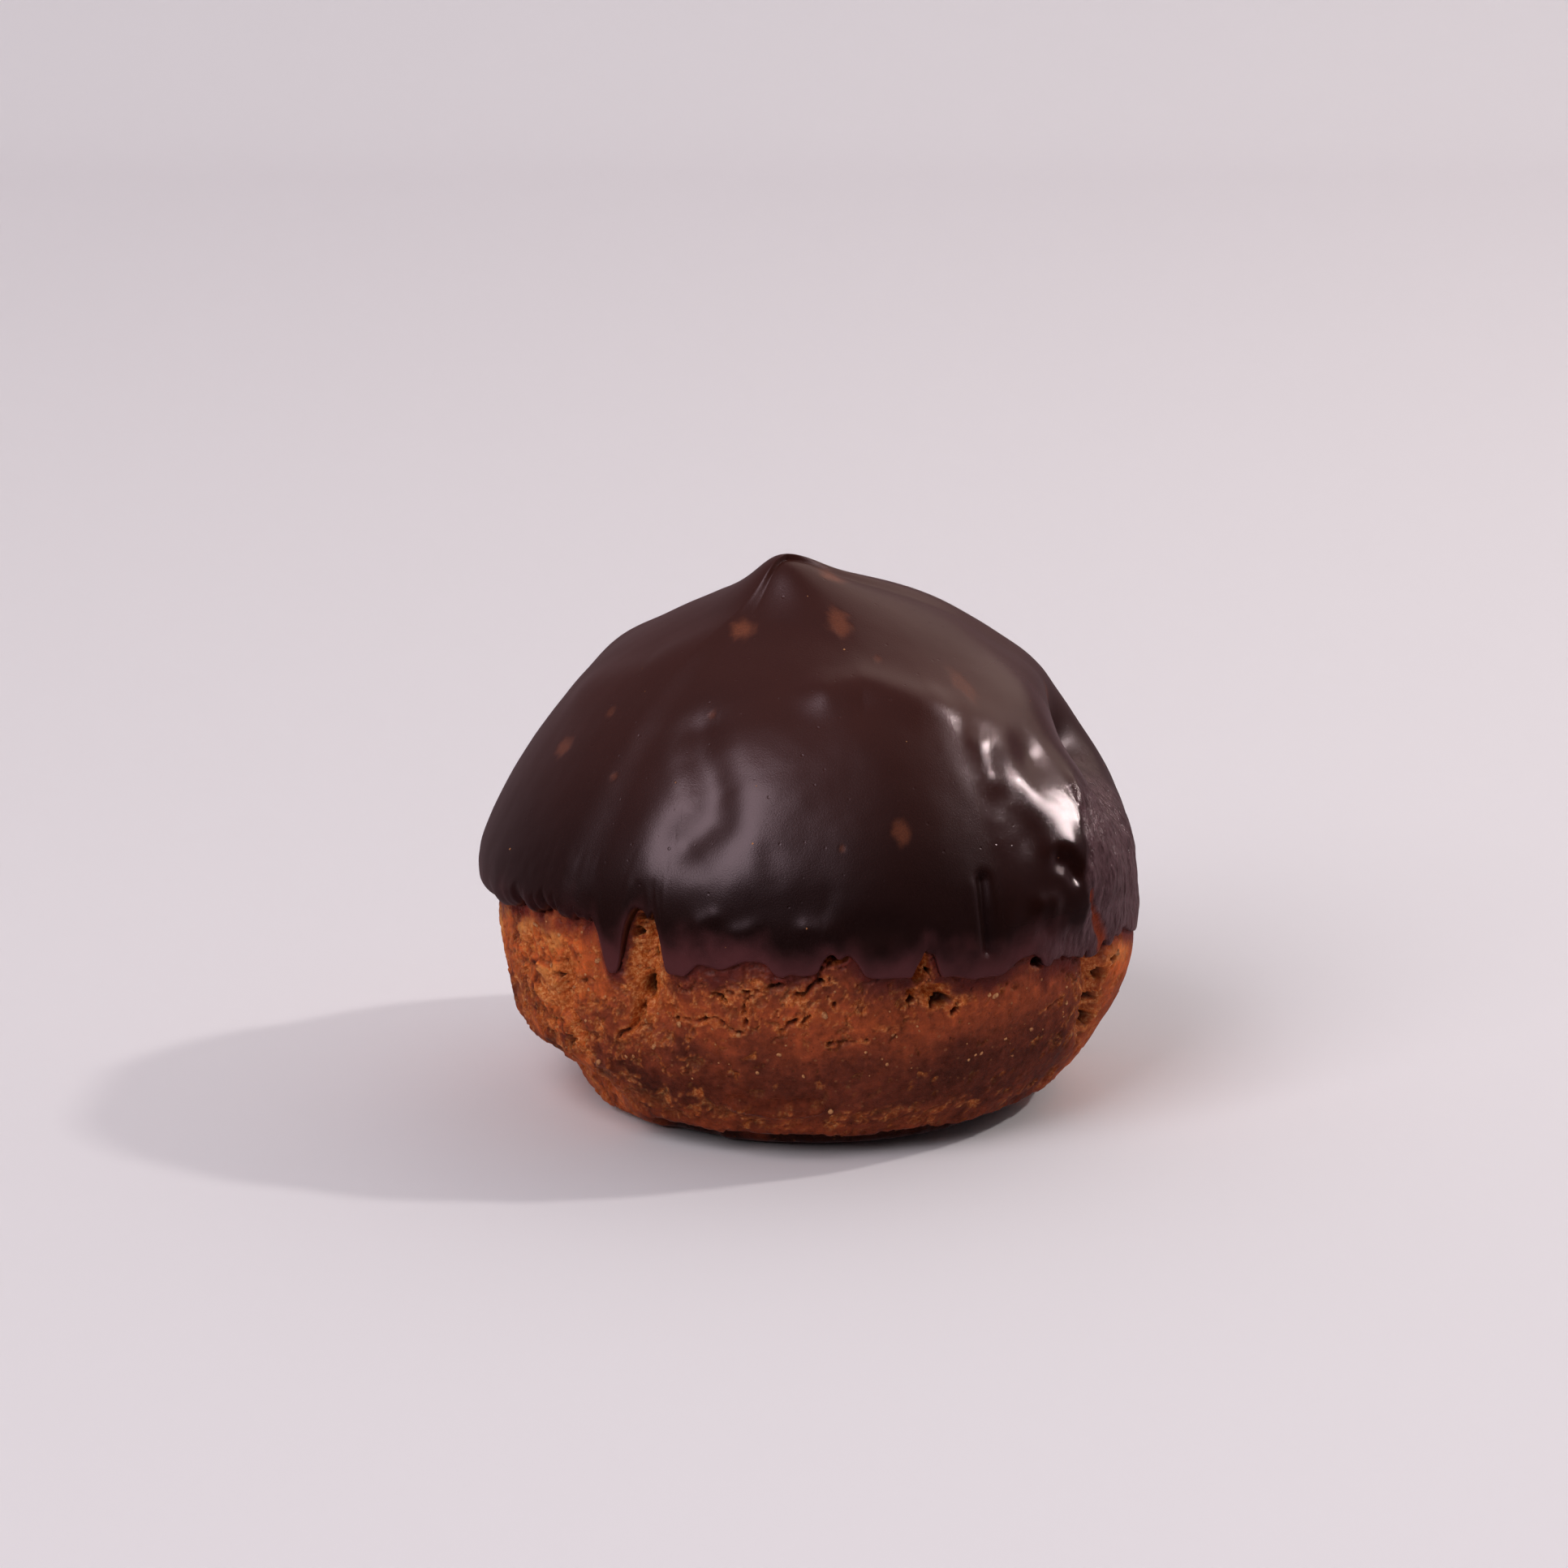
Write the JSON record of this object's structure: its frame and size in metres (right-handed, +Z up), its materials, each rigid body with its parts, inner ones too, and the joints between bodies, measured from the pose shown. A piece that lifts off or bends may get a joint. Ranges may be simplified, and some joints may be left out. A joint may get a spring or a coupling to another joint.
{
  "type": "profiterole",
  "caption": "Round choux bun baked golden brown and torn at the side, standing on its flat base, its dome dipped in dark chocolate that set with a rolled lip, drips and a small peak.",
  "frame": {"origin": "centre of the bounding box in plan, on the surface that the flat base stands on", "axes": "+Z up through the crown, +X to the right as seen from the side with the large front drip, +Y away from that viewer"},
  "size_m": [0.061, 0.06, 0.0503],
  "materials": {
    "crust": "baked choux crust, golden to reddish brown, dry and finely crazed",
    "chocolate": "set dark chocolate glaze, satin with a fine grain"
  },
  "bodies": {
    "root": {"choux_bun": "crust", "chocolate_glaze": "chocolate"}
  },
  "joints": []
}
